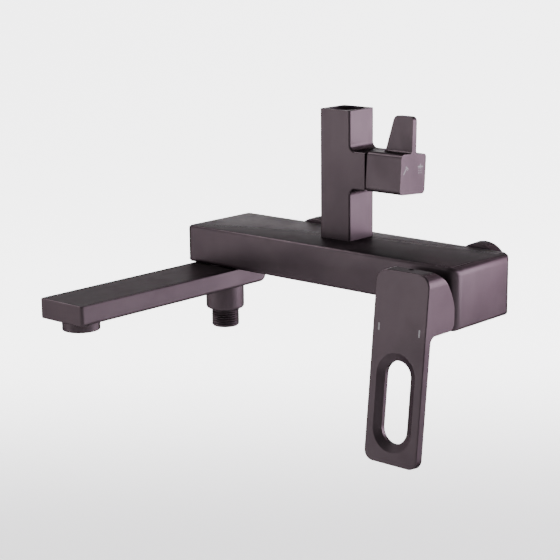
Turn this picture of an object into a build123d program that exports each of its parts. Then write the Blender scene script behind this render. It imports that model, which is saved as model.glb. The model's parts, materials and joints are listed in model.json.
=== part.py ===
from build123d import *

import os
from math import cos, radians, sin, tan

# Wall mounted bath faucet with a swivel spout, a hose outlet and a riser column with its own diverter.
# +X to the right, +Y into the wall, +Z up, millimetres. The user stands on the -Y side.
# The pieces are drawn about the riser column, and moved to the frame when they are written:
# its origin is midway between the two inlet nuts, in the plane of their open ends.

# ---------------------------------------------------------------- driving dimensions

bar_length = 251.0
bar_depth = 68.0
bar_height = 28.4
bar_front = -112.0
bar_top = 34.0
bar_corner = 8.0
bar_top_edge = 2.4
bar_bottom_edge = 3.2
end_block_height = 43.4
end_block_width = 46.5
end_block_step = 8.0

inlet_spacing = 150.0
inlet_middle = 20.4
inlet_z = 18.0
nut_radius = 18.6
nut_start = 0.6
nut_length = 11.0
half_inch_thread = 10.478
three_quarter_thread = 13.22

lever_x = 105.2
lever_width = 43.8
lever_length = 129.2
lever_thickness = 6.0
lever_lean = 6.1
lever_gap = 2.4
slot_length = 67.2
slot_width = 31.8
slot_flare = 5.4
slot_flare_depth = 2.8
slot_centre = 87.2

column_side = 27.4
column_height = 93.4
column_y = -71.2
column_edge = 1.4
branch_end = 27.2
branch_fillet = 4.5
riser_bore = 12.35
riser_depth = 26.0

knob_side = 28.2
knob_start = 27.7
knob_end = 59.6
knob_turn = radians(-4.0)
knob_corner = 3.0
fin_top = 40.0
fin_thickness = 4.5

outlet_x = -97.3
outlet_y = -98.5
spout_width = 43.3
spout_height = 14.4
spout_front = -261.2
spout_back = -75.0
spout_gap = 0.4
collar_radius = 14.4
collar_bottom = -28.6
outlet_bottom = -42.5
aerator_y = -243.1
aerator_radius = 13.3
aerator_bottom = -17.1

running = 0.05  # radial clearance of every shaft that turns in a bore
chord = 0.3  # clearance between moving faces that aren't a fit

# ---------------------------------------------------------------- worked out from them

bar_back = bar_front + bar_depth
bar_bottom = bar_top - bar_height
block_bottom = bar_top - end_block_height
step_x = bar_length / 2 - end_block_width
cartridge_z = bar_top - end_block_height / 2
cartridge_axis = (lever_x, bar_front, cartridge_z)
diverter_z = bar_top + 51.3
diverter_axis = (0, column_y, diverter_z)
column_top = bar_top + column_height
spout_top = bar_bottom - spout_gap
spout_bottom = spout_top - spout_height
outlet_axis = (outlet_x, outlet_y, 0)
aerator_axis = (outlet_x, aerator_y, 0)
outward = (0, -1, 0)
inward = (0, 1, 0)
sides = {"hot": -1, "cold": 1}
inlets = {name: (inlet_middle + side * inlet_spacing / 2, bar_back, inlet_z) for name, side in sides.items()}


def turned(origin, axis, outline, mode=Mode.ADD):
    """Turn an outline of (radius, distance along the axis) points about an axis through origin."""
    direction = Vector(axis)
    radial = Vector(0, 1, 0) if abs(direction.X) > 0.5 else Vector(1, 0, 0)
    with BuildSketch(Plane(origin=origin, x_dir=radial, z_dir=radial.cross(direction))) as half:
        with BuildLine():
            Polyline(*outline, close=True)
        make_face()
    revolve(half.sketch, axis=Axis(origin, axis), mode=mode)


def ring(origin, axis, inner, outer, start, end, mode=Mode.ADD):
    """A plain washer-shaped turning between two distances along the axis."""
    turned(origin, axis, [(inner, start), (outer, start), (outer, end), (inner, end)], mode)


def drill(start, end, radius, mode=Mode.SUBTRACT):
    """A round passage from start to end, or a round bar with Mode.ADD."""
    run = Vector(*end) - Vector(*start)
    with Locations(Plane(origin=start, z_dir=run.normalized())):
        Cylinder(radius, run.length, align=(Align.CENTER, Align.CENTER, Align.MIN), mode=mode)


def facing(y):
    """The plane at this Y that faces the user: its x is +X, its y is +Z."""
    return Plane.XZ.offset(-y)


def knob_point(along, out, up):
    """A point of the diverter knob: along +X, out to its front side and up its fin."""
    y = -out * cos(knob_turn) - up * sin(knob_turn)
    z = -out * sin(knob_turn) + up * cos(knob_turn)
    return (along, column_y + y, diverter_z + z)


def lever_point(across, down, out=0.0):
    """A point of the lever plate: across +X, down from its top edge and out of its front face."""
    lean = radians(lever_lean)
    y = plate_top_y - down * sin(lean) - out * cos(lean)
    z = bar_top - down * cos(lean) + out * sin(lean)
    return (lever_x + across, y, z)


# ---------------------------------------------------------------- body

chamber_radius = 12.5
chamber_depth = 32.0
chamber_mouth = 14.0
mouth_depth = 7.0
valve_bore = 7.5
valve_bore_end = -6.0
tail_radius = 9.5
tail_flange = 11.8
tail_neck = 3.4
tail_length = 5.4
hot_way_y = -56.0
hot_way_z = 24.0
cold_way_y = -49.0
cold_way_z = 12.0
mixed_way_y = -96.0
mixed_way_z = 13.0
water_way = 4.5
hot_port_x = 100.0
cold_port_x = 111.0
port_radius = 3.4
column_socket = 8.0
column_socket_depth = 14.0
outlet_socket = 9.5
outlet_socket_depth = 12.0

with BuildPart() as body_casting:
    with BuildSketch(facing(bar_back)) as front_view:
        with BuildLine():
            Polyline(
                (-bar_length / 2, bar_top),
                (bar_length / 2, bar_top),
                (bar_length / 2, block_bottom),
                (step_x, block_bottom),
                (step_x, bar_bottom),
                (-bar_length / 2, bar_bottom),
                close=True,
            )
        make_face()
        step_corners = front_view.vertices().filter_by(lambda v: abs(v.X - step_x) < 1)
        fillet(step_corners.sort_by(Axis.Y)[-1], end_block_step)
        fillet(step_corners.sort_by(Axis.Y)[0], bar_bottom_edge)
    extrude(amount=bar_depth)
    fillet(
        body_casting.edges().filter_by(Axis.Z).filter_by(lambda e: abs(e.center().X) > bar_length / 2 - 1),
        bar_corner,
    )
    fillet(body_casting.faces().sort_by(Axis.Z)[-1].edges(), bar_top_edge)
    fillet(
        body_casting.edges()
        .filter_by(Axis.X)
        .filter_by(lambda e: e.center().Z < bar_bottom + 0.1 and e.center().Y < bar_front + 0.1),
        bar_bottom_edge,
    )
    # chamber for the mixing cartridge, open to the front, with the thread of its nut
    turned(
        cartridge_axis,
        outward,
        [(0, -chamber_depth), (chamber_radius, -chamber_depth), (chamber_radius, -mouth_depth),
         (chamber_mouth, -mouth_depth), (chamber_mouth, 1), (0, 1)],
        Mode.SUBTRACT,
    )
    # inlet tails at the back, each with a collar that holds its union nut
    for inlet in inlets.values():
        turned(
            inlet,
            inward,
            [(0, -1), (tail_radius, -1), (tail_radius, tail_neck), (tail_flange, tail_neck),
             (tail_flange, tail_length), (0, tail_length)],
        )
        ring(inlet, inward, 0, valve_bore, valve_bore_end, tail_length, Mode.SUBTRACT)
    # cored waterways: hot across the back, cold beside it, mixed along the front
    hot_inlet_x = inlets["hot"][0]
    valve_seat = bar_back + valve_bore_end
    drill((hot_inlet_x, valve_seat, inlet_z), (hot_inlet_x, hot_way_y, inlet_z), water_way)
    drill((hot_inlet_x, hot_way_y, inlet_z), (hot_inlet_x, hot_way_y, hot_way_z), water_way)
    drill((hot_inlet_x, hot_way_y, hot_way_z), (hot_port_x, hot_way_y, hot_way_z), water_way)
    chamber_end = bar_front + chamber_depth
    drill((hot_port_x, hot_way_y, hot_way_z - 4), (hot_port_x, chamber_end, hot_way_z - 4), port_radius)
    drill((inlets["cold"][0], cold_way_y, cold_way_z), (cold_port_x, cold_way_y, cold_way_z), port_radius)
    drill((cold_port_x, cold_way_y, cold_way_z), (cold_port_x, chamber_end, cold_way_z), port_radius)
    drill((lever_x, mixed_way_y, mixed_way_z), (outlet_x, mixed_way_y, mixed_way_z), water_way)
    drill((0, mixed_way_y, mixed_way_z), (0, column_y, mixed_way_z), port_radius)
    # sockets for the column nipple above and the hose outlet below
    drill((0, column_y, bar_top), (0, column_y, mixed_way_z), water_way)
    drill((0, column_y, bar_top + 1), (0, column_y, bar_top - column_socket_depth), column_socket)
    drill(
        (outlet_x, outlet_y, bar_bottom - 1),
        (outlet_x, outlet_y, bar_bottom + outlet_socket_depth),
        outlet_socket,
    )

# ---------------------------------------------------------------- inlet nuts

nut_end = nut_start + nut_length
nut_shoulder = tail_neck - chord
nut_relief = 12.8
washer_thickness = 1.6
spanner_flats = 34.0
nut_chamfer = 0.8


def union_nut(inlet):
    """Low round nut with two spanner flats, loose on its inlet tail, with a 3/4 inch thread for the wall union."""
    with BuildPart() as nut:
        ring(inlet, inward, 0, nut_radius, nut_start, nut_end)
        chamfer(nut.edges(), nut_chamfer)
        with BuildSketch(facing(bar_back + nut_end)):
            with Locations((inlet[0], inlet[2])):
                Rectangle(spanner_flats, 2 * nut_radius)
        extrude(amount=nut_length, mode=Mode.INTERSECT)
        thread_start = tail_length + washer_thickness + chord
        turned(
            inlet,
            inward,
            [(0, nut_start), (tail_radius + chord, nut_start), (tail_radius + chord, nut_shoulder),
             (nut_relief, nut_shoulder), (nut_relief, thread_start), (three_quarter_thread, thread_start),
             (three_quarter_thread, nut_end), (0, nut_end)],
            Mode.SUBTRACT,
        )
    return nut


def check_valve(origin, axis, radius, start, end):
    """Non-return insert: a ring with a crossed guide and the nose of its poppet."""
    web = 1.2
    depth = end - start
    with BuildPart() as insert:
        ring(origin, axis, radius - 1.6, radius, start, end)
        seat = Plane(origin=origin, z_dir=axis).offset(start + depth / 3)
        with BuildSketch(seat):
            Rectangle(2 * radius - 2, web)
            Rectangle(web, 2 * radius - 2)
            Circle(radius / 3)
        extrude(amount=depth / 3)
    return insert


union_nuts = {name: union_nut(inlet) for name, inlet in inlets.items()}
inlet_valves = {
    name: check_valve(inlet, inward, valve_bore - running, valve_bore_end + 0.5, tail_length - 0.5)
    for name, inlet in inlets.items()
}

with BuildPart() as filter_washers:
    for inlet in inlets.values():
        ring(inlet, inward, 7.0, 12.4, tail_length, tail_length + washer_thickness)

# ---------------------------------------------------------------- riser column

branch_bore = 10.2
gland_bore = 11.0
gland_depth = 7.4
water_bore = 7.0
seal_inner = 9.0
seal_outer = 11.2
seal_depth = 1.4
grub_radius = 2.0
grub_z = 114.0

with BuildPart() as riser_column:
    half = column_side / 2
    with BuildSketch(facing(column_y + half)) as tee:
        with Locations((0, bar_top + column_height / 2)):
            Rectangle(column_side, column_height)
        with Locations((branch_end / 2, diverter_z)):
            Rectangle(branch_end, column_side)
        inner_corners = tee.vertices().filter_by(
            lambda v: abs(v.X - half) < 0.1 and abs(abs(v.Y - diverter_z) - half) < 0.1
        )
        fillet(inner_corners, branch_fillet)
    extrude(amount=column_side)
    # the long edges are softened, but not the foot, the top rim or the face towards the knob
    soft_edges = riser_column.edges().filter_by(
        lambda e: abs(abs(e.center().Y - column_y) - half) < 0.1
        and bar_top + 0.1 < e.center().Z < column_top - 0.1
        and e.center().X < branch_end - 0.1
    )
    fillet(soft_edges, column_edge)
    fillet(riser_column.faces().sort_by(Axis.Z)[-1].edges(), 0.4)
    drill((0, column_y, column_top + 1), (0, column_y, column_top - riser_depth), riser_bore)
    drill((0, column_y, column_top), (0, column_y, bar_top - 1), water_bore)
    drill((0, column_y, bar_top - 1), (0, column_y, bar_top + column_socket_depth), column_socket)
    ring((0, column_y, bar_top), (0, 0, 1), seal_inner, seal_outer, -1, seal_depth, Mode.SUBTRACT)
    drill((branch_end + 1, column_y, diverter_z), (-half + 3.5, column_y, diverter_z), branch_bore)
    drill((branch_end + 1, column_y, diverter_z), (branch_end - gland_depth, column_y, diverter_z), gland_bore)
    drill((0, column_y, grub_z), (0, column_y + column_side, grub_z), grub_radius)

with BuildPart() as column_nipple:
    ring((0, column_y, bar_top), (0, 0, 1), water_way, column_socket - 0.05, 1 - column_socket_depth,
         column_socket_depth - 1)

with BuildPart() as column_base_seal:
    ring((0, column_y, bar_top), (0, 0, 1), seal_inner, seal_outer, 0, seal_depth)

with BuildPart() as riser_grub_screw:
    drill((0, column_y + riser_bore, grub_z), (0, column_y + half - 0.1, grub_z), grub_radius, Mode.ADD)
    with BuildSketch(Plane(origin=(0, column_y + half - 0.1, grub_z), z_dir=(0, 1, 0))):
        RegularPolygon(1.0, 6)
    extrude(amount=-0.9, mode=Mode.SUBTRACT)

# ---------------------------------------------------------------- diverter

cartridge_start = -half + 3.5
cartridge_end = branch_end - gland_depth
cage_radius = branch_bore - 0.1
cage_inner = 7.6
spindle_radius = 4.0
drive_square = 6.0
gland_end = branch_end - 0.5

with BuildPart() as diverter_cartridge:
    ring(diverter_axis, (1, 0, 0), cage_inner, cage_radius, cartridge_start, cartridge_end)
    ring(diverter_axis, (1, 0, 0), spindle_radius + running, cage_inner + 1, cartridge_end - 6, cartridge_end)
    drill((0, column_y, diverter_z - cage_radius - 1), (0, column_y, diverter_z + cage_radius + 1), 5.0)

with BuildPart() as diverter_fixed_disc:
    ring(diverter_axis, (1, 0, 0), 2.4, cage_inner, cartridge_start, cartridge_start + 3)

with BuildPart() as diverter_rotor:
    ring(diverter_axis, (1, 0, 0), 0, cage_inner - 0.1, cartridge_start + 3.1, cartridge_end - 6.1)
    drill(diverter_axis, (0, column_y, diverter_z + cage_inner), 4.4)
    drill(diverter_axis, (0, column_y - cage_inner, diverter_z), 4.4)

with BuildPart() as diverter_spindle:
    drill((cartridge_end - 6.1, column_y, diverter_z), (knob_start + 1, column_y, diverter_z), spindle_radius,
          Mode.ADD)
    knob_face = Plane(origin=knob_point(knob_start + 1, 0, 0), x_dir=(0, cos(knob_turn), sin(knob_turn)),
                      z_dir=(1, 0, 0))
    with BuildSketch(knob_face):
        Rectangle(drive_square, drive_square)
    extrude(amount=17)
    chamfer(diverter_spindle.faces().sort_by(Axis.X)[-1].edges(), 0.6)

with BuildPart() as diverter_gland_nut:
    ring(diverter_axis, (1, 0, 0), spindle_radius + chord, gland_bore - 0.05, cartridge_end, gland_end)
    with BuildSketch(Plane(origin=(gland_end, column_y, diverter_z), z_dir=(1, 0, 0))):
        with PolarLocations(gland_bore - 1.2, 4):
            Rectangle(3.0, 2.4)
    extrude(amount=-2.5, mode=Mode.SUBTRACT)

knob_cavity = 10.6
knob_cavity_end = 34.0
drive_end = knob_start + 18.5
fin_base = 11.0
fin_inner_foot = 35.9
fin_inner_lean = 5.8 / 22.4
fin_outer_lean = 0.8
knob_grub_x = 40.0

with BuildPart() as diverter_knob:
    square_face = Plane(origin=knob_point(knob_start, 0, 0), x_dir=(0, cos(knob_turn), sin(knob_turn)),
                        z_dir=(1, 0, 0))
    with BuildSketch(square_face):
        RectangleRounded(knob_side, knob_side, knob_corner)
    extrude(amount=knob_end - knob_start)
    fin_face = Plane(origin=knob_point(0, fin_thickness / 2, 0), x_dir=(1, 0, 0),
                     z_dir=(0, -cos(knob_turn), -sin(knob_turn)))
    with BuildSketch(fin_face) as fin:
        with BuildLine():
            Polyline(
                (fin_inner_foot - (knob_side / 2 - fin_base) * fin_inner_lean, fin_base),
                (fin_inner_foot + (fin_top - knob_side / 2) * fin_inner_lean, fin_top),
                (knob_end - fin_outer_lean, fin_top),
                (knob_end, knob_side / 2),
                (knob_end, fin_base),
                close=True,
            )
        make_face()
        fin_corners = fin.vertices().group_by(Axis.Y)[-1].sort_by(Axis.X)
        fillet(fin_corners[0], 4.6)
        fillet(fin.vertices().group_by(Axis.Y)[-1].sort_by(Axis.X)[-1], 3.6)
    extrude(amount=-fin_thickness)
    foot_edges = diverter_knob.edges().filter_by(
        lambda e: e.length > 15
        and abs((e.center() - Vector(*knob_point(0, 0, 0))).dot(Vector(0, -sin(knob_turn), cos(knob_turn)))
                - knob_side / 2) < 0.05
        and abs((e.center() - Vector(*knob_point(0, 0, 0))).dot(Vector(0, cos(knob_turn), sin(knob_turn))))
        < fin_thickness / 2 + 0.05
    )
    fillet(foot_edges, 2.4)
    drill(knob_point(knob_start - 1, 0, 0), knob_point(knob_cavity_end, 0, 0), knob_cavity)
    with BuildSketch(square_face):
        Rectangle(drive_square, drive_square)
    extrude(amount=drive_end - knob_start, mode=Mode.SUBTRACT)
    drill(knob_point(knob_grub_x, 0, -knob_side / 2 - 1), knob_point(knob_grub_x, 0, -drive_square / 2), grub_radius)

with BuildPart() as knob_grub_screw:
    drill(knob_point(knob_grub_x, 0, -drive_square / 2 - 5), knob_point(knob_grub_x, 0, -drive_square / 2),
          grub_radius, Mode.ADD)
    with BuildSketch(Plane(origin=knob_point(knob_grub_x, 0, -drive_square / 2 - 5),
                           z_dir=(0, sin(knob_turn), -cos(knob_turn)))):
        RegularPolygon(1.1, 6)
    extrude(amount=-2, mode=Mode.SUBTRACT)

# ---------------------------------------------------------------- mixing cartridge

pivot_in = -4.0
lift_arm = 10.0
lift_open = radians(25)
housing_radius = chamber_radius - 0.1
housing_end = -mouth_depth + 0.4
neck_outer = 10.2
neck_bore = 8.6
neck_end = 1.2
disc_bore = 10.9
disc_floor = -24.2
rotor_lip = -9.0
rotor_base = -12.0
carrier_radius = 8.4
carrier_rest = lift_arm * lift_open / 2
stem_side = 7.0
stem_end = 24.0
pin_radius = 1.25
ball_radius = 1.75
arm_radius = 1.2

with BuildPart() as mixing_cartridge:
    turned(
        cartridge_axis,
        outward,
        [(0, 1 - chamber_depth), (housing_radius, 1 - chamber_depth), (housing_radius, housing_end),
         (neck_outer, housing_end), (neck_outer, neck_end), (neck_bore, neck_end), (neck_bore, rotor_lip),
         (disc_bore, rotor_lip), (disc_bore, disc_floor), (0, disc_floor)],
    )
    for across, up in ((hot_port_x - lever_x, 7.6), (cold_port_x - lever_x, 0), (-3.5, -6)):
        drill((lever_x + across, bar_front + chamber_depth, cartridge_z + up),
              (lever_x + across, bar_front - disc_floor - 1, cartridge_z + up), 2.4)

with BuildPart() as cartridge_base_seal:
    ring(cartridge_axis, outward, 10.4, 11.9, -chamber_depth, 1 - chamber_depth)

with BuildPart() as fixed_ceramic_disc:
    ring(cartridge_axis, outward, 0, disc_bore - 0.1, disc_floor, disc_floor + 3)
    for across, up in ((hot_port_x - lever_x, 7.6), (cold_port_x - lever_x, 0), (-3.5, -6)):
        drill((lever_x + across, bar_front - disc_floor + 1, cartridge_z + up),
              (lever_x + across, bar_front - disc_floor - 4, cartridge_z + up), 2.4)

disc_centre = (lever_x, bar_front, cartridge_z + carrier_rest)

with BuildPart() as moving_ceramic_disc:
    ring(disc_centre, outward, 0, carrier_radius, disc_floor + 3.1, disc_floor + 6.1)
    with BuildSketch(facing(bar_front - disc_floor - 3.1)):
        with Locations((lever_x, disc_centre[2] - 1.5)):
            SlotOverall(9.0, 4.0)
    extrude(amount=2.0, mode=Mode.SUBTRACT)

with BuildPart() as disc_carrier:
    ring(disc_centre, outward, 0, carrier_radius, disc_floor + 6.1, rotor_base - chord)
    drill((lever_x, bar_front - rotor_base - 1, cartridge_z), (lever_x, bar_front + 16.2, cartridge_z),
          ball_radius + chord)

with BuildPart() as cartridge_rotor:
    turned(
        cartridge_axis,
        outward,
        [(0, rotor_base), (disc_bore - 0.1, rotor_base), (disc_bore - 0.1, rotor_lip - 0.1),
         (neck_bore - running, rotor_lip - 0.1), (neck_bore - running, neck_end - chord), (0, neck_end - chord)],
    )
    with BuildSketch(facing(bar_front - rotor_base)):
        with Locations((lever_x, cartridge_z)):
            Rectangle(stem_side + 0.4, 13.0)
    extrude(amount=20, mode=Mode.SUBTRACT)
    drill((lever_x - neck_bore, bar_front - pivot_in, cartridge_z),
          (lever_x + neck_bore, bar_front - pivot_in, cartridge_z), pin_radius)

with BuildPart() as tilt_pin:
    drill((lever_x - neck_bore + 0.4, bar_front - pivot_in, cartridge_z),
          (lever_x + neck_bore - 0.4, bar_front - pivot_in, cartridge_z), pin_radius, Mode.ADD)

with BuildPart() as lever_stem:
    with BuildSketch(facing(bar_front - pivot_in + 3)):
        with Locations((lever_x, cartridge_z)):
            Rectangle(stem_side, stem_side)
    extrude(amount=stem_end - pivot_in + 3)
    chamfer(lever_stem.faces().sort_by(Axis.Y)[0].edges(), 0.6)
    drill((lever_x, bar_front - pivot_in, cartridge_z), (lever_x, bar_front - pivot_in + lift_arm, cartridge_z),
          arm_radius, Mode.ADD)
    with Locations((lever_x, bar_front - pivot_in + lift_arm, cartridge_z)):
        Sphere(ball_radius)
    drill((lever_x - stem_side, bar_front - pivot_in, cartridge_z),
          (lever_x + stem_side, bar_front - pivot_in, cartridge_z), pin_radius + running)

with BuildPart() as cartridge_nut:
    ring(cartridge_axis, outward, neck_outer + 0.2, chamber_mouth - 0.05, housing_end, 0.5)
    with BuildSketch(facing(bar_front - 0.5)):
        with Locations((lever_x, cartridge_z)):
            with PolarLocations(chamber_mouth - 1.3, 4):
                Rectangle(2.8, 3.2)
    extrude(amount=-2.4, mode=Mode.SUBTRACT)

with BuildPart() as cartridge_dome:
    turned(
        cartridge_axis,
        outward,
        [(14.3, 0.05), (15.5, 0.05), (15.5, 1.4), (11.8, 4.9), (9.4, 5.6), (9.4, 4.6), (11.4, 3.9), (14.3, 1.2)],
    )

# ---------------------------------------------------------------- lever

plate_top_y = -141.7
hub_top = bar_top + 0.4
hub_bottom = bar_top - 40.6
hub_back = bar_front - lever_gap
relief_start = (-130.3, hub_top)
relief_middle = (-119.9, 22.6)
relief_end = (hub_back, 8.5)
hub_cavity = 17.5
cavity_end = -128.0
boss_radius = 6.5
boss_end = -123.5
lever_grub_y = -132.6
mark_across = 16.6
mark_down = 38.0
mark_depth = 0.3

plate_face = Plane(origin=lever_point(0, 0), x_dir=(1, 0, 0),
                   z_dir=(0, -cos(radians(lever_lean)), sin(radians(lever_lean))))

with BuildPart() as lever_handle:
    plate_back_y = plate_top_y + lever_thickness / cos(radians(lever_lean))
    slope = tan(radians(lever_lean))
    with BuildSketch(Plane.YZ.offset(lever_x)) as side_view:
        with BuildLine():
            ThreePointArc(relief_start, relief_middle, relief_end)
            Polyline(
                relief_end,
                (hub_back, hub_bottom),
                (plate_back_y + (hub_bottom - bar_top) * slope, hub_bottom),
                lever_point(0, lever_length, -lever_thickness)[1:],
                lever_point(0, lever_length)[1:],
                (plate_top_y + (hub_top - bar_top) * slope, hub_top),
                relief_start,
            )
        make_face()
        hub_foot = side_view.vertices().filter_by(lambda v: abs(v.Y - hub_bottom) < 0.1).sort_by(Axis.X)
        fillet(hub_foot[-1], 5.5)
        hub_root = side_view.vertices().filter_by(lambda v: abs(v.Y - hub_bottom) < 0.1).sort_by(Axis.X)
        fillet(hub_root[0], 5.0)
    extrude(amount=lever_width / 2, both=True)
    top_edges = lever_handle.edges().filter_by(Axis.Y).filter_by(lambda e: e.center().Z > hub_top - 0.1)
    fillet(top_edges, 8.5)
    bottom_edges = lever_handle.edges().filter_by(
        lambda e: abs(e.length - lever_thickness) < 0.05 and e.center().Z < bar_top - 120
    )
    fillet(bottom_edges, 7.0)
    front_edges = lever_handle.faces().sort_by(SortBy.AREA)[-3:].sort_by(Axis.Y)[0].edges()
    fillet(front_edges, 0.9)
    # oval finger slot: a wide flare at the front that runs into a straight hole
    with BuildSketch(plate_face) as flare_front:
        with Locations((0, -slot_centre)):
            SlotOverall(slot_length, slot_width, rotation=90)
    with BuildSketch(plate_face.offset(-slot_flare_depth)) as flare_back:
        with Locations((0, -slot_centre)):
            SlotOverall(slot_length - 2 * slot_flare, slot_width - 2 * slot_flare, rotation=90)
    loft([flare_front.sketch, flare_back.sketch], ruled=True, mode=Mode.SUBTRACT)
    extrude(flare_back.sketch, amount=-2 * lever_thickness, mode=Mode.SUBTRACT)
    # round cavity over the cartridge dome, with the boss that takes the stem
    ring(cartridge_axis, outward, boss_radius, hub_cavity, 0, bar_front - cavity_end, Mode.SUBTRACT)
    ring(cartridge_axis, outward, 0, boss_radius + 0.1, 0, bar_front - boss_end, Mode.SUBTRACT)
    with BuildSketch(facing(boss_end + 1)):
        with Locations((lever_x, cartridge_z)):
            Rectangle(stem_side, stem_side)
    extrude(amount=boss_end + 1 - bar_front + stem_end, mode=Mode.SUBTRACT)
    drill((lever_x, lever_grub_y, hub_top + 1), (lever_x, lever_grub_y, cartridge_z), grub_radius)
    for across in (-mark_across, mark_across):
        with BuildSketch(plate_face):
            with Locations((across, -mark_down)):
                SlotOverall(5.2, 1.3, rotation=90)
        extrude(amount=-mark_depth, mode=Mode.SUBTRACT)

with BuildPart() as lever_grub_screw:
    screw_foot = cartridge_z + stem_side / 2
    drill((lever_x, lever_grub_y, screw_foot), (lever_x, lever_grub_y, screw_foot + 8), grub_radius, Mode.ADD)
    with BuildSketch(Plane.XY.offset(screw_foot + 8)):
        with Locations((lever_x, lever_grub_y)):
            RegularPolygon(1.2, 6)
    extrude(amount=-2.5, mode=Mode.SUBTRACT)


def lever_mark(across):
    """Small oval inlay, flush with the front of the lever."""
    with BuildPart() as mark:
        with BuildSketch(plate_face):
            with Locations((across, -mark_down)):
                SlotOverall(5.2, 1.3, rotation=90)
        extrude(amount=-mark_depth)
    return mark


lever_marks = {name: lever_mark(side * mark_across) for name, side in sides.items()}

# ---------------------------------------------------------------- spout and hose outlet

bearing_radius = 11.45
spout_wall = 3.0
waterway_half = 14.0
spout_edge = 1.0
spout_corner = 2.4
spout_heel = 5.5
washer_top = spout_bottom - 0.1
washer_bottom = spout_bottom - 0.7
seal_levels = (spout_top - 2.3, spout_bottom + 2.3)
seal_section = 0.65
outlet_way = 5.2
outlet_valve = 7.1
outlet_valve_top = -26.0
aerator_bore = 12.0
aerator_roof = -1.0

with BuildPart() as spout_body:
    with BuildSketch(Plane.YZ.offset(outlet_x)) as spout_side:
        with BuildLine():
            Polyline(
                (spout_front, spout_top),
                (spout_back, spout_top),
                (spout_back, spout_bottom),
                (spout_front, spout_bottom),
                close=True,
            )
        make_face()
        heel = spout_side.vertices().group_by(Axis.Y)[0].sort_by(Axis.X)[-1]
        fillet(heel, spout_heel)
    extrude(amount=spout_width / 2, both=True)
    fillet(spout_body.edges().filter_by(Axis.Z), spout_corner)
    fillet(spout_body.edges(), spout_edge)
    ring(outlet_axis, (0, 0, 1), 0, bearing_radius + running, spout_bottom - 1, spout_top + 1, Mode.SUBTRACT)
    with BuildSketch(Plane.XY.offset(spout_bottom + spout_wall)):
        with Locations((outlet_x, (outlet_y + aerator_y) / 2)):
            RectangleRounded(2 * waterway_half, outlet_y - aerator_y, 4.0)
    extrude(amount=spout_height - 2 * spout_wall, mode=Mode.SUBTRACT)
    ring(aerator_axis, (0, 0, 1), 0, aerator_bore, spout_bottom - 1, aerator_roof, Mode.SUBTRACT)

with BuildPart() as hose_outlet_nipple:
    turned(
        outlet_axis,
        (0, 0, 1),
        [(outlet_valve, outlet_bottom), (half_inch_thread - 1, outlet_bottom),
         (half_inch_thread, outlet_bottom + 1), (half_inch_thread, collar_bottom), (collar_radius, collar_bottom),
         (collar_radius, washer_bottom), (bearing_radius, washer_bottom), (bearing_radius, bar_bottom),
         (outlet_socket - 0.05, bar_bottom), (outlet_socket - 0.05, bar_bottom + outlet_socket_depth - 0.5),
         (outlet_way, bar_bottom + outlet_socket_depth - 0.5), (outlet_way, outlet_valve_top),
         (outlet_valve, outlet_valve_top)],
    )
    collar_edges = hose_outlet_nipple.edges().filter_by(GeomType.CIRCLE).filter_by(
        lambda e: abs(e.radius - collar_radius) < 0.01
    ).sort_by(Axis.Z)
    fillet(collar_edges[0], 2.2)
    chamfer(hose_outlet_nipple.edges().filter_by(GeomType.CIRCLE).filter_by(
        lambda e: abs(e.radius - collar_radius) < 0.01).sort_by(Axis.Z)[-1], 0.4)
    for level in seal_levels:
        ring(outlet_axis, (0, 0, 1), bearing_radius - 2 * seal_section - 0.05, bearing_radius + 1,
             level - seal_section, level + seal_section, Mode.SUBTRACT)
    for reach in ((waterway_half, 0), (0, waterway_half)):
        drill((outlet_x - reach[0], outlet_y - reach[1], (spout_top + spout_bottom) / 2),
              (outlet_x + reach[0], outlet_y + reach[1], (spout_top + spout_bottom) / 2), 3.0)

with BuildPart() as spout_o_rings:
    for level in seal_levels:
        with Locations((outlet_x, outlet_y, level)):
            Torus(bearing_radius - seal_section, seal_section)

with BuildPart() as spout_bearing_washer:
    ring(outlet_axis, (0, 0, 1), bearing_radius + 0.05, collar_radius - 0.3, washer_bottom, washer_top)

hose_outlet_valve = check_valve(outlet_axis, (0, 0, 1), outlet_valve - running, outlet_bottom + 1.5,
                                outlet_valve_top - 0.5)

with BuildPart() as aerator_housing:
    turned(
        aerator_axis,
        (0, 0, 1),
        [(aerator_radius - 2.6, aerator_bottom), (aerator_radius, aerator_bottom),
         (aerator_radius, spout_bottom), (aerator_bore - 0.05, spout_bottom),
         (aerator_bore - 0.05, aerator_roof - 1.6), (aerator_radius - 2.6, aerator_roof - 1.6)],
    )
    rim = aerator_housing.edges().filter_by(GeomType.CIRCLE).group_by(Axis.Z)[0].sort_by(SortBy.RADIUS)
    fillet(rim[-1], 0.8)

with BuildPart() as aerator_insert:
    ring(aerator_axis, (0, 0, 1), 0, aerator_radius - 2.65, aerator_bottom + 0.6, aerator_roof - 2.6)
    with BuildSketch(Plane.XY.offset(aerator_bottom)):
        with Locations((outlet_x, aerator_y)):
            with HexLocations(1.3, 7, 7):
                RegularPolygon(1.0, 6)
    extrude(amount=-aerator_bottom, mode=Mode.SUBTRACT)

with BuildPart() as aerator_gasket:
    ring(aerator_axis, (0, 0, 1), 8.6, aerator_bore - 0.1, aerator_roof - 1.6, aerator_roof)

# ---------------------------------------------------------------- pictograms on the knob

picture_depth = 0.25
hand_out = 8.6
overhead_out = -8.0
picture_up = 3.0


def drawn_hand_shower():
    """A plain hand shower: slanted handle, small head, three drops."""
    with Locations((-0.9, -0.6)):
        SlotOverall(5.4, 0.9, rotation=55)
    with Locations((0.9, 1.9)):
        SlotOverall(3.0, 0.9, rotation=-35)
    with Locations((1.9, 0.2), (2.6, 1.0)):
        Circle(0.32)


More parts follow.
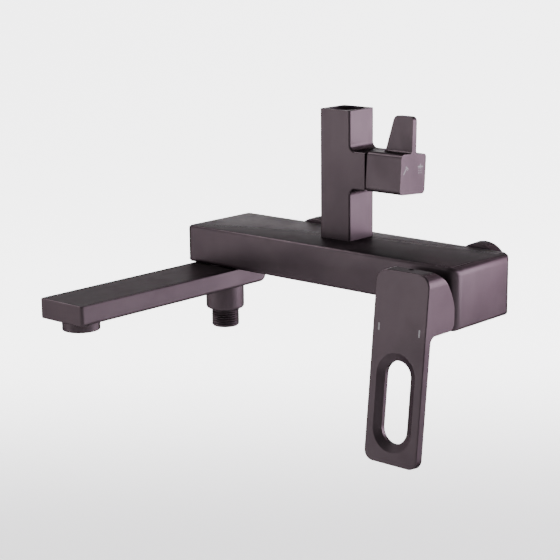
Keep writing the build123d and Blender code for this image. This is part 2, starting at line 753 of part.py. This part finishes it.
def drawn_overhead_shower():
    """A plain overhead shower: arm, wide rose and rows of drops."""
    with Locations((0, 3.2)):
        Rectangle(0.8, 1.6)
    with Locations((0, 2.1)):
        SlotOverall(6.0, 0.9)
    with Locations((0, -0.6)):
        with GridLocations(1.7, 1.6, 3, 3):
            SlotOverall(1.0, 0.5, rotation=90)


def picture_face(out):
    """Plane on the knob's end, read from the end with the fin upwards."""
    return Plane(origin=knob_point(knob_end, out, picture_up), x_dir=(0, cos(knob_turn), sin(knob_turn)),
                 z_dir=(1, 0, 0))


def picture(out, drawing):
    """Shallow inlay of one pictogram."""
    with BuildPart() as inlay:
        with BuildSketch(picture_face(out)) as shape:
            drawing()
        extrude(shape.sketch, amount=-picture_depth)
    return inlay


hand_shower_mark = picture(hand_out, drawn_hand_shower)
overhead_shower_mark = picture(overhead_out, drawn_overhead_shower)
for mark in (hand_shower_mark, overhead_shower_mark):
    diverter_knob.part -= mark.part

# ---------------------------------------------------------------- write the pieces

pieces = {
    "body_casting": body_casting,
    "filter_washers": filter_washers,
    "riser_column": riser_column,
    "column_nipple": column_nipple,
    "column_base_seal": column_base_seal,
    "riser_grub_screw": riser_grub_screw,
    "diverter_cartridge": diverter_cartridge,
    "diverter_fixed_disc": diverter_fixed_disc,
    "diverter_rotor": diverter_rotor,
    "diverter_spindle": diverter_spindle,
    "diverter_gland_nut": diverter_gland_nut,
    "diverter_knob": diverter_knob,
    "knob_grub_screw": knob_grub_screw,
    "hand_shower_mark": hand_shower_mark,
    "overhead_shower_mark": overhead_shower_mark,
    "mixing_cartridge": mixing_cartridge,
    "cartridge_base_seal": cartridge_base_seal,
    "fixed_ceramic_disc": fixed_ceramic_disc,
    "moving_ceramic_disc": moving_ceramic_disc,
    "disc_carrier": disc_carrier,
    "cartridge_rotor": cartridge_rotor,
    "tilt_pin": tilt_pin,
    "lever_stem": lever_stem,
    "cartridge_nut": cartridge_nut,
    "cartridge_dome": cartridge_dome,
    "lever_handle": lever_handle,
    "lever_grub_screw": lever_grub_screw,
    "spout_body": spout_body,
    "hose_outlet_nipple": hose_outlet_nipple,
    "spout_o_rings": spout_o_rings,
    "spout_bearing_washer": spout_bearing_washer,
    "hose_outlet_valve": hose_outlet_valve,
    "aerator_housing": aerator_housing,
    "aerator_insert": aerator_insert,
    "aerator_gasket": aerator_gasket,
}
for name in sides:
    pieces[f"{name}_union_nut"] = union_nuts[name]
    pieces[f"{name}_inlet_valve"] = inlet_valves[name]
    pieces[f"{name}_mark"] = lever_marks[name]

to_frame = Pos(-inlet_middle, -bar_back - nut_end, -inlet_z)

os.makedirs("parts", exist_ok=True)
for name, piece in pieces.items():
    placed = to_frame * piece.part
    placed.label = name
    export_step(placed, f"parts/{name}.step")
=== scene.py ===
import json
from math import cos, pi, radians, sin

import bmesh
import bpy
from mathutils import Euler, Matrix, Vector


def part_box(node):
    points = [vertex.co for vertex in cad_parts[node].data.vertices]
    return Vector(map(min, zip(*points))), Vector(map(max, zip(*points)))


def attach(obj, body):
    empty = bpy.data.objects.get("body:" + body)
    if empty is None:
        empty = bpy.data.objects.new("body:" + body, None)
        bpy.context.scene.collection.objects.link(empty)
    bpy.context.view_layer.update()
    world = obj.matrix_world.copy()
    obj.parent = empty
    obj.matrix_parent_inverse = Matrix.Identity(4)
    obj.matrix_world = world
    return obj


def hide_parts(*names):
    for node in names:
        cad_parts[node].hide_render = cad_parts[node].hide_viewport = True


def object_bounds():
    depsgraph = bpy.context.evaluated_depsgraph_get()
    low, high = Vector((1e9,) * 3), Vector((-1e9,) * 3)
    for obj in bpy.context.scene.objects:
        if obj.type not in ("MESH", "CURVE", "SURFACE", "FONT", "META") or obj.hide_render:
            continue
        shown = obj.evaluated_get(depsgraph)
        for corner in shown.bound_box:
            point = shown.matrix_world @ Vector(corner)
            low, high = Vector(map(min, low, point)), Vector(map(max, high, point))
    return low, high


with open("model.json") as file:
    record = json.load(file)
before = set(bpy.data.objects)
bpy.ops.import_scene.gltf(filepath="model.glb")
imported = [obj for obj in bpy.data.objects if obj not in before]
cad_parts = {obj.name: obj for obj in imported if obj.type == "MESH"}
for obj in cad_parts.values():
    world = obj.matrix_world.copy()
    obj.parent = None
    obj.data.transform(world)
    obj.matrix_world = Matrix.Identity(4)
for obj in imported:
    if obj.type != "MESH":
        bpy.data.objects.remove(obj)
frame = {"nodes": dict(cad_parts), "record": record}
cad_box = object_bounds()

# Wall mounted bath faucet: dark satin coating over cast brass. Metres, +Z up, the wall on the +Y side.

# ---------------------------------------------------------------- node writing


class Socket:
    """One output socket, with arithmetic that adds Math nodes."""

    def __init__(self, sheet, link):
        self.sheet = sheet
        self.link = link

    def _math(self, operation, first, second=None):
        inputs = {0: first} if second is None else {0: first, 1: second}
        return self.sheet.add("ShaderNodeMath", {"operation": operation}, inputs)

    def __add__(self, other):
        return self._math("ADD", self, other)

    __radd__ = __add__

    def __sub__(self, other):
        return self._math("SUBTRACT", self, other)

    def __rsub__(self, other):
        return self._math("SUBTRACT", other, self)

    def __mul__(self, other):
        return self._math("MULTIPLY", self, other)

    __rmul__ = __mul__

    def above(self, low, high):
        """0 below low, 1 above high, smooth between."""
        return self.sheet.add(
            "ShaderNodeMapRange",
            {"interpolation_type": "SMOOTHSTEP"},
            {"Value": self, "From Min": low, "From Max": high},
        )


class Nodes:
    """Writes nodes into a tree."""

    def __init__(self, tree):
        self.tree = tree

    def add(self, kind, settings, inputs, output=0):
        """A node of that kind, with its settings first and then its sockets' values or links."""
        node = self.tree.nodes.new(kind)
        for name, value in settings.items():
            setattr(node, name, value)
        for name, value in inputs.items():
            self.feed(node.inputs[name], value)
        return Socket(self, node.outputs[output])

    def feed(self, socket, value):
        if isinstance(value, Socket):
            self.tree.links.new(value.link, socket)
        else:
            socket.default_value = value


class Sheet(Nodes):
    """The node tree of one material, written from its shader outwards."""

    def __init__(self, name):
        self.material = bpy.data.materials.new(name)
        self.material.use_nodes = True
        super().__init__(self.material.node_tree)
        self.shader = self.tree.nodes["Principled BSDF"]
        self.place = self.add("ShaderNodeTexCoord", {}, {}, "Object")

    def surface(self, **inputs):
        """Feeds the shader: Base_Color becomes Base Color."""
        for name, value in inputs.items():
            self.feed(self.shader.inputs[name.replace("_", " ")], value)
        return self.material

    def noise(self, size, detail=2.0, stretch=(1, 1, 1), roughness=0.5):
        """Soft clouds of about that size in metres, 0 to 1."""
        placed = self.add(
            "ShaderNodeVectorMath",
            {"operation": "MULTIPLY"},
            {0: self.place, 1: stretch},
        )
        return self.add(
            "ShaderNodeTexNoise",
            {"noise_dimensions": "3D"},
            {"Vector": placed, "Scale": 1 / size, "Detail": detail, "Roughness": roughness},
        )

    def mixed(self, share, first, second):
        """A colour between two colours."""
        return self.add(
            "ShaderNodeMix",
            {"data_type": "RGBA"},
            {0: share, 6: with_alpha(first), 7: with_alpha(second)},
            2,
        )

    def bump(self, height, distance, strength=1.0, under=None):
        inputs = {"Height": height, "Distance": distance, "Strength": strength}
        if under is not None:
            inputs["Normal"] = under
        return self.add("ShaderNodeBump", {}, inputs)

    def facing_up(self):
        """1 on faces that look up, 0 on walls and undersides."""
        normal = self.add("ShaderNodeNewGeometry", {}, {}, "Normal")
        height = self.add("ShaderNodeSeparateXYZ", {}, {0: normal}, "Z")
        return height.above(0.35, 0.95)

    def worn_edge(self, radius):
        """1 on convex edges, where a rounded normal leaves the face's own."""
        normal = self.add("ShaderNodeNewGeometry", {}, {}, "Normal")
        rounded = self.add("ShaderNodeBevel", {"samples": 6}, {"Radius": radius})
        likeness = self.add(
            "ShaderNodeVectorMath",
            {"operation": "DOT_PRODUCT"},
            {0: normal, 1: rounded},
            "Value",
        )
        return (1 - likeness).above(0.01, 0.16)


def with_alpha(colour):
    return colour if isinstance(colour, Socket) else (*colour, 1)


# ---------------------------------------------------------------- finishes

camera_azimuth = radians(41.85)
away = Vector((-sin(camera_azimuth), cos(camera_azimuth), 0))


def coating(name, dark, light, gloss, grain=0.00042):
    """Satin dark coating: fine orange peel, smudges from hands, dried drops and thin wear on edges."""
    sheet = Sheet(name)
    tone = sheet.noise(0.045, 3).above(0.3, 0.7)
    fleck = sheet.noise(grain, 2)
    smudge = sheet.noise(0.022, 4, (1, 1, 0.55)).above(0.5, 0.72)
    streak = sheet.noise(0.006, 3, (1, 1, 0.16)).above(0.52, 0.8)
    worn = sheet.worn_edge(0.0009) * sheet.noise(0.004, 3).above(0.42, 0.6)
    dust = sheet.facing_up() * sheet.noise(0.0032, 4).above(0.45, 0.85)
    colour = sheet.mixed(tone * 0.6 + fleck * 0.35, dark, light)
    colour = sheet.mixed(worn * 0.35, colour, tuple(min(1, 1.9 * part) for part in light))
    colour = sheet.mixed(dust * 0.05, colour, (0.55, 0.53, 0.52))
    rough = gloss + tone * 0.03 + fleck * 0.05 + smudge * 0.06 - streak * 0.035 + dust * 0.08 - worn * 0.05
    peel = sheet.bump(sheet.noise(grain, 2), 0.00002, 0.5)
    peel = sheet.bump(sheet.noise(0.0022, 2), 0.00003, 0.22, peel)
    return sheet.surface(
        Base_Color=colour,
        Metallic=0.92,
        Specular_Tint=(0.16, 0.14, 0.15, 1),
        Roughness=rough,
        Normal=peel,
    )


def machined(name, colour, tarnish, gloss, lay=(1, 1, 1)):
    """Bare turned metal with fine tool lines and a patchy tarnish."""
    sheet = Sheet(name)
    lines = sheet.noise(0.0004, 3, lay)
    patch = sheet.noise(0.007, 4).above(0.42, 0.7)
    spots = sheet.noise(0.0014, 3).above(0.6, 0.75)
    tint = sheet.mixed(patch * 0.6 + spots * 0.25, colour, tarnish)
    return sheet.surface(
        Base_Color=tint,
        Metallic=1.0,
        Roughness=gloss + patch * 0.14 + lines * 0.08 + spots * 0.1,
        Normal=sheet.bump(lines, 0.00003, 0.5),
    )


def moulded(name, colour, other, gloss, peel_size=0.0008, peel=0.00002):
    """Moulded plastic or rubber with a faint flow pattern and a dull bloom."""
    sheet = Sheet(name)
    flow = sheet.noise(0.012, 3, (1, 1, 0.5)).above(0.35, 0.7)
    speck = sheet.noise(0.0009, 2).above(0.55, 0.75)
    bloom = sheet.noise(0.005, 4).above(0.5, 0.8)
    tint = sheet.mixed(flow * 0.5 + speck * 0.25, colour, other)
    return sheet.surface(
        Base_Color=tint,
        Metallic=0.0,
        Roughness=gloss + bloom * 0.12 + speck * 0.06,
        Normal=sheet.bump(sheet.noise(peel_size, 2), peel, 0.5),
    )


def filled_mark(name, colour, other):
    """Enamel in a shallow engraving, a little chipped and dirty at its rim."""
    sheet = Sheet(name)
    grain = sheet.noise(0.0004, 3)
    dirt = sheet.noise(0.0012, 3).above(0.45, 0.7)
    return sheet.surface(
        Base_Color=sheet.mixed(dirt * 0.7 + grain * 0.2, colour, other),
        Metallic=0.0,
        Roughness=0.42 + dirt * 0.25 + grain * 0.08,
        Normal=sheet.bump(grain, 0.00003, 0.5),
    )


def glowing_backdrop_finish():
    """Plain pale matt surface that glows as painted light: dim near the faucet, bright towards where it rises
    at the rear.
    """
    sheet = Sheet("glowing_pale_backdrop")
    grain = sheet.noise(0.02, 3)
    rear = sheet.add(
        "ShaderNodeVectorMath",
        {"operation": "DOT_PRODUCT"},
        {0: sheet.place, 1: away},
        "Value",
    )
    return sheet.surface(
        Base_Color=sheet.mixed(grain * 0.5, (0.86, 0.86, 0.86), (0.9, 0.9, 0.9)),
        Roughness=0.8 + grain * 0.1,
        # Painted light: the emission makes the sheet glow like a lamp, dim under the faucet and bright
        # towards the rear wall.
        Emission_Color=sheet.mixed(rear.above(0.1, 0.75), (0.05, 0.05, 0.05), (1, 1, 1)),
        Emission_Strength=3.2,
        Normal=sheet.bump(grain, 0.0002, 0.2),
    )


dark_brown = (0.035, 0.027, 0.031)
warm_brown = (0.054, 0.042, 0.047)

finishes = {
    "dark_coating": coating("dark_coating", dark_brown, warm_brown, 0.36),
    "brass": machined("turned_brass", (0.72, 0.53, 0.26), (0.42, 0.27, 0.12), 0.26, (1, 0.2, 1)),
    "stainless": machined("turned_stainless", (0.58, 0.57, 0.56), (0.38, 0.36, 0.34), 0.24, (1, 1, 0.2)),
    "seal_rubber": moulded("seal_rubber", (0.022, 0.022, 0.023), (0.045, 0.043, 0.042), 0.55),
    "cartridge_plastic": moulded("acetal", (0.70, 0.69, 0.66), (0.60, 0.58, 0.54), 0.42),
    "ceramic_disc": moulded("lapped_ceramic", (0.80, 0.77, 0.70), (0.70, 0.66, 0.58), 0.12, 0.0005, 0.000005),
    "dark_mark": filled_mark("dark_enamel", (0.030, 0.026, 0.030), (0.075, 0.065, 0.075)),
    "light_mark": filled_mark("light_enamel", (0.17, 0.16, 0.17), (0.10, 0.09, 0.10)),
}
slot_of = {part["node"]: part["material_slot"] for part in frame["record"]["subparts"]}


def wear(thing, finish):
    thing.data.materials.clear()
    thing.data.materials.append(finish)


for node, thing in frame["nodes"].items():
    wear(thing, finishes[slot_of[node]])

# ---------------------------------------------------------------- mesh making


def new_piece(name, mesh, body, replaced):
    """A visible piece that rides on a body and stands for a CAD node, in that node's finish."""
    thing = bpy.data.objects.new(name, mesh)
    bpy.context.scene.collection.objects.link(thing)
    wear(thing, finishes[slot_of[replaced]])
    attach(thing, body)
    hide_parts(replaced)
    return thing


def smooth_by_angle(mesh, angle):
    """Smooth shading, with the edges sharper than that angle left crisp."""
    work = bmesh.new()
    work.from_mesh(mesh)
    bmesh.ops.recalc_face_normals(work, faces=work.faces)
    for face in work.faces:
        face.smooth = True
    for edge in work.edges:
        edge.smooth = len(edge.link_faces) == 2 and edge.calc_face_angle(0) < angle
    work.to_mesh(mesh)
    work.free()


def lathe(outline, centre, axis, steps, thread=None):
    """Closed mesh turned about an axis, from an outline of (radius, height) points.

    thread is (low, high, pitch, depth): between those heights the surface follows a helix.
    """
    along = Vector(axis).normalized()
    across = along.orthogonal().normalized()
    beside = along.cross(across)
    work = bmesh.new()
    rings = []
    for radius, height in outline:
        points = []
        for step in range(steps):
            turn = 2 * pi * step / steps
            r = radius - groove(height, turn, thread)
            out = across * cos(turn) + beside * sin(turn)
            points.append(work.verts.new(Vector(centre) + along * height + out * r))
        rings.append(points)
    for low, high in zip(rings, rings[1:] + rings[:1]):
        for step in range(steps):
            after = (step + 1) % steps
            work.faces.new((low[step], low[after], high[after], high[step]))
    mesh = bpy.data.meshes.new("turned")
    work.to_mesh(mesh)
    work.free()
    return mesh


def groove(height, turn, thread):
    """Depth of a rounded V groove at a height and angle, fading in at both ends."""
    if thread is None:
        return 0.0
    low, high, pitch, depth = thread
    if not low < height < high:
        return 0.0
    fade = min(1.0, (height - low) / pitch, (high - height) / pitch)
    wave = 0.5 - 0.5 * cos(2 * pi * height / pitch - turn)
    return depth * fade * wave ** 0.8


def threaded_wall(radius, low, high, per_pitch, pitch):
    """Evenly spaced outline points up a threaded wall."""
    count = max(2, round((high - low) / pitch * per_pitch))
    return [(radius, low + (high - low) * step / count) for step in range(count + 1)]


def boolean(thing, other, operation):
    """Cuts or joins another mesh into a piece and applies it at once."""
    change = thing.modifiers.new("cut", "BOOLEAN")
    change.operation = operation
    change.solver = "EXACT"
    change.object = other
    applied = bpy.data.meshes.new_from_object(thing.evaluated_get(bpy.context.evaluated_depsgraph_get()))
    thing.modifiers.remove(change)
    thing.data = applied
    bpy.data.objects.remove(other)


def loose(mesh):
    thing = bpy.data.objects.new("tool", mesh)
    bpy.context.scene.collection.objects.link(thing)
    return thing


# ---------------------------------------------------------------- body casting

casting_low, casting_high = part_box("body_casting")
nut_low, nut_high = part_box("cartridge_nut")
housing_low, housing_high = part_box("mixing_cartridge")
inlet_boxes = [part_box(name) for name in ("hot_union_nut", "cold_union_nut")]
valve_low, valve_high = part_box("hot_inlet_valve")
spout_low, spout_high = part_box("spout_body")
nipple_low, nipple_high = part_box("hose_outlet_nipple")

bar_depth = 0.068
end_block_width = 0.0465
bar_underside = spout_high.z + 0.0004
tail_length = 0.0054
tail_root = 0.004
tail_neck = 0.0034
tail_radius = 0.0095
tail_flange = 0.0118
nut_seat_depth = 0.007
chamber_depth = 0.032
outlet_socket = (0.0095, 0.012)
column_socket = (0.0080, 0.014)
past = 0.001  # how far a cutting tool stands out of the surface it cuts
riser_low, riser_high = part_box("column_nipple")
column_foot = ((riser_low.x + riser_high.x) / 2, (riser_low.y + riser_high.y) / 2, casting_high.z)
corner_radius = 0.008


def bar_block():
    """The bar with its taller end block, its edges weighted by how widely each is rounded."""
    left, right = casting_low.x, casting_high.x
    top, bottom, foot = casting_high.z, bar_underside, casting_low.z
    step = right - end_block_width
    front, back = casting_low.y, casting_low.y + bar_depth
    outline = [(left, top), (left, bottom), (step, bottom), (step, foot), (right, foot), (right, top)]
    work = bmesh.new()
    fronts = [work.verts.new((x, front, z)) for x, z in outline]
    backs = [work.verts.new((x, back, z)) for x, z in outline]
    work.faces.new(fronts)
    work.faces.new(backs[::-1])
    count = len(outline)
    for here in range(count):
        after = (here + 1) % count
        work.faces.new((fronts[after], fronts[here], backs[here], backs[after]))
    bmesh.ops.recalc_face_normals(work, faces=work.faces)
    weight = work.edges.layers.float.new("bevel_weight_edge")
    for edge in work.edges:
        edge[weight] = edge_share(edge, left, right, top, bottom, step)
    mesh = bpy.data.meshes.new("bar_block")
    work.to_mesh(mesh)
    work.free()
    return mesh


def edge_share(edge, left, right, top, bottom, step):
    """How much of the corner radius an edge of the block gets."""
    a, b = (v.co for v in edge.verts)
    middle = (a + b) / 2
    at_end = min(abs(middle.x - left), abs(middle.x - right)) < 1e-5
    if abs(a.z - b.z) > 1e-4:
        return 1.0 if at_end else 0.19
    if abs(middle.z - top) < 1e-5:
        return 0.75 if at_end else 0.27
    if abs(a.y - b.y) > 1e-4 and abs(middle.x - step) < 1e-5:
        return 1.0 if abs(middle.z - bottom) < 1e-5 else 0.4
    return 0.41


def rounded(mesh, width, segments):
    """The mesh with its weighted edges rounded."""
    thing = loose(mesh)
    change = thing.modifiers.new("round", "BEVEL")
    change.width = width
    change.segments = segments
    change.limit_method = "WEIGHT"
    change.use_clamp_overlap = True
    done = bpy.data.meshes.new_from_object(thing.evaluated_get(bpy.context.evaluated_depsgraph_get()))
    bpy.data.objects.remove(thing)
    return done


def plug(radius, low, high, centre, axis, steps=96):
    """Solid cylinder, as a tool to cut with."""
    return loose(lathe([(1e-6, low), (radius, low), (radius, high), (1e-6, high)], centre, axis, steps))


def make_bar_body():
    body = new_piece("bar_body", rounded(bar_block(), corner_radius, 10), "body", "body_casting")
    back = casting_low.y + bar_depth
    cartridge = ((nut_low.x + nut_high.x) / 2, casting_low.y, (nut_low.z + nut_high.z) / 2)
    nut_radius = (nut_high.x - nut_low.x) / 2 + 0.00005
    housing_radius = (housing_high.x - housing_low.x) / 2 + 0.0001
    outlet = ((nipple_low.x + nipple_high.x) / 2, (nipple_low.y + nipple_high.y) / 2, bar_underside)
    boolean(body, plug(nut_radius, -past, nut_seat_depth, cartridge, (0, 1, 0)), "DIFFERENCE")
    boolean(body, plug(housing_radius, -past, chamber_depth, cartridge, (0, 1, 0)), "DIFFERENCE")
    boolean(body, plug(outlet_socket[0], -past, outlet_socket[1], outlet, (0, 0, 1)), "DIFFERENCE")
    boolean(body, plug(column_socket[0], -past, column_socket[1], column_foot, (0, 0, -1)), "DIFFERENCE")
    valve_radius = (valve_high.x - valve_low.x) / 2 + 0.00005
    for low, high in inlet_boxes:
        inlet = ((low.x + high.x) / 2, back, (low.z + high.z) / 2)
        tail = [
            (valve_radius, -tail_root),
            (tail_radius, -tail_root),
            (tail_radius, tail_neck),
            (tail_flange, tail_neck),
            (tail_flange, tail_length - 0.0003),
            (tail_flange - 0.0003, tail_length),
            (valve_radius, tail_length),
        ]
        boolean(body, loose(lathe(tail, inlet, (0, 1, 0), 96)), "UNION")
        boolean(body, plug(valve_radius, -0.006, tail_length + past, inlet, (0, 1, 0)), "DIFFERENCE")
    smooth_by_angle(body.data, radians(28))
    return body


make_bar_body()

# ---------------------------------------------------------------- threaded ends

pitch = 0.001814
thread_depth = 0.00095
thread_radius = 0.010478
nut_thread_radius = 0.01322


def make_hose_outlet():
    """Round collar with a half inch thread below it, the bearing of the spout above it."""
    centre = ((nipple_low.x + nipple_high.x) / 2, (nipple_low.y + nipple_high.y) / 2, 0)
    foot, head = nipple_low.z, nipple_high.z
    collar_radius = (nipple_high.x - nipple_low.x) / 2
    collar_low = foot + 0.0139
    collar_top = spout_low.z - 0.0007
    collar_round = 0.0022
    bearing = 0.01145
    socket = 0.00945
    water_way = 0.0052
    valve_bore = 0.0071
    valve_depth = 0.0165
    outline = [(valve_bore, foot + 0.0003), (valve_bore + 0.0003, foot), (thread_radius - 0.0011, foot)]
    outline += threaded_wall(thread_radius, foot + 0.0009, collar_low - 0.0012, 14, pitch)
    outline += [(thread_radius - 0.0007, collar_low - 0.0011), (thread_radius - 0.0007, collar_low)]
    for step in range(9):
        turn = radians(90 * step / 8)
        outline.append((
            collar_radius - collar_round * (1 - sin(turn)),
            collar_low + collar_round * (1 - cos(turn)),
        ))
    outline += [
        (collar_radius, collar_top - 0.0004),
        (collar_radius - 0.0004, collar_top),
        (bearing, collar_top),
        (bearing, bar_underside),
        (socket, bar_underside),
        (socket, head),
        (water_way, head),
        (water_way, foot + valve_depth),
        (valve_bore, foot + valve_depth),
    ]
    mesh = lathe(outline, centre, (0, 0, 1), 128, (foot, collar_low - 0.0006, pitch, thread_depth))
    smooth_by_angle(mesh, radians(40))
    return new_piece("threaded_hose_outlet", mesh, "body", "hose_outlet_nipple")


make_hose_outlet()


def make_inlet_nut(name):
    """Low round nut with a softened rim, a three quarter inch thread inside and two spanner flats."""
    low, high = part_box(name)
    centre = ((low.x + high.x) / 2, 0, (low.z + high.z) / 2)
    radius = (high.z - low.z) / 2
    flats = (high.x - low.x) / 2
    soft = 0.0008
    throat = 0.0098
    relief = 0.0128
    bore = nut_thread_radius
    outline = [(throat, low.y + 0.0002), (throat + 0.0002, low.y), (radius - soft, low.y)]
    for step in range(1, 7):
        turn = radians(90 * step / 6)
        outline.append((radius - soft * (1 - sin(turn)), low.y + soft * (1 - cos(turn))))
    for step in range(7):
        turn = radians(90 * step / 6)
        outline.append((radius - soft * (1 - cos(turn)), high.y - soft * (1 - sin(turn))))
    outline += [(bore + 0.0006, high.y)]
    outline += threaded_wall(bore, low.y + 0.0068, high.y - 0.0005, 14, pitch)[::-1]
    outline += [(relief, low.y + 0.0066), (relief, low.y + 0.0026), (throat, low.y + 0.0026)]
    mesh = lathe(outline, centre, (0, 1, 0), 144, (low.y + 0.0066, high.y, pitch, -thread_depth))
    nut = new_piece("threaded_" + name, mesh, "body", name)
    for side in (-1, 1):
        waste = bmesh.new()
        bmesh.ops.create_cube(waste, size=1)
        bmesh.ops.scale(waste, vec=(0.02, 0.03, 0.06), verts=waste.verts)
        place = (centre[0] + side * (flats + 0.01), (low.y + high.y) / 2, centre[2])
        bmesh.ops.translate(waste, vec=place, verts=waste.verts)
        block = bpy.data.meshes.new("waste")
        waste.to_mesh(block)
        waste.free()
        boolean(nut, loose(block), "DIFFERENCE")
    smooth_by_angle(nut.data, radians(35))


for side in ("hot", "cold"):
    make_inlet_nut(side + "_union_nut")

# ---------------------------------------------------------------- stage

middle = Vector([(low + high) / 2 for low, high in zip(*cad_box)])
floor_drop = 0.16
floor_reach = 3.2
bend_start = 1.2
bend_radius = 0.9
wall_height = 3.4


def make_backdrop():
    """One pale sheet: floor, a wide bend and a rear wall."""
    work = bmesh.new()
    level = cad_box[0][2] - floor_drop
    profile = [(-floor_reach, level), (bend_start, level)]
    for step in range(1, 13):
        turn = radians(90 * step / 12)
        profile.append((bend_start + bend_radius * sin(turn), level + bend_radius * (1 - cos(turn))))
    profile.append((bend_start + bend_radius, level + wall_height))
    across = Vector((cos(camera_azimuth), sin(camera_azimuth), 0))
    ribs = []
    for distance, height in profile:
        centre = away * distance + Vector((0, 0, height))
        ribs.append([work.verts.new(centre + across * side) for side in (-floor_reach, floor_reach)])
    for low, high in zip(ribs, ribs[1:]):
        work.faces.new((low[0], low[1], high[1], high[0]))
    for face in work.faces:
        face.smooth = True
    mesh = bpy.data.meshes.new("backdrop")
    work.to_mesh(mesh)
    work.free()
    sheet = bpy.data.objects.new("backdrop", mesh)
    bpy.context.scene.collection.objects.link(sheet)
    wear(sheet, glowing_backdrop_finish())


camera_elevation = radians(12.85)
camera_roll = radians(-0.57)
camera_place = Vector((0.7097, -0.9272, 0.2460))
camera_lens = 103.75

make_backdrop()

lens = bpy.data.cameras.new("camera")
lens.lens = camera_lens
lens.sensor_width = 36
camera = bpy.data.objects.new("camera", lens)
bpy.context.scene.collection.objects.link(camera)
camera.location = camera_place
aim = Euler((pi / 2 - camera_elevation, 0, camera_azimuth), "XYZ").to_matrix()
camera.rotation_euler = (aim @ Euler((0, 0, camera_roll)).to_matrix()).to_euler()
bpy.context.scene.camera = camera


def soft_box(name, place, size, power, tint=(1, 1, 1)):
    """Area light that faces the middle of the faucet."""
    light = bpy.data.lights.new(name, "AREA")
    light.shape = "RECTANGLE"
    light.size, light.size_y = size
    light.energy = power
    light.color = tint
    thing = bpy.data.objects.new(name, light)
    bpy.context.scene.collection.objects.link(thing)
    thing.location = place
    thing.rotation_euler = (middle - Vector(place)).to_track_quat("-Z", "Y").to_euler()


def along(x, y, z, distance):
    """A place that far from the middle of the faucet, in a direction."""
    return middle + Vector((x, y, z)).normalized() * distance


soft_box("right_box", along(0.66, 0.72, 0.10, 1.6), (1.5, 0.9), 62, (1.0, 0.93, 1.04))
soft_box("left_box", along(-0.65, -0.74, -0.05, 1.7), (1.6, 1.3), 20)
soft_box("edge_box", along(-0.66, -0.20, 0.72, 1.3), (0.5, 0.3), 12)


def studio_air():
    """Soft light from the whole room: palest round the horizon, a little stronger on the left."""
    world = bpy.data.worlds.new("studio")
    world.use_nodes = True
    bpy.context.scene.world = world
    air = Nodes(world.node_tree)
    direction = air.add("ShaderNodeTexCoord", {}, {}, "Generated")
    leftness = air.add(
        "ShaderNodeVectorMath",
        {"operation": "DOT_PRODUCT"},
        {0: direction, 1: (-0.9, 0.4, 0.1)},
        "Value",
    )
    height = air.add("ShaderNodeSeparateXYZ", {}, {0: direction}, "Z")
    horizon = 1 - (height * height).above(0, 0.12)
    strength = leftness.above(-0.5, 0.9) * 0.30 + 0.20 + horizon * 0.6
    background = world.node_tree.nodes["Background"]
    background.inputs["Color"].default_value = (0.96, 0.95, 0.97, 1)
    air.feed(background.inputs["Strength"], strength)


studio_air()
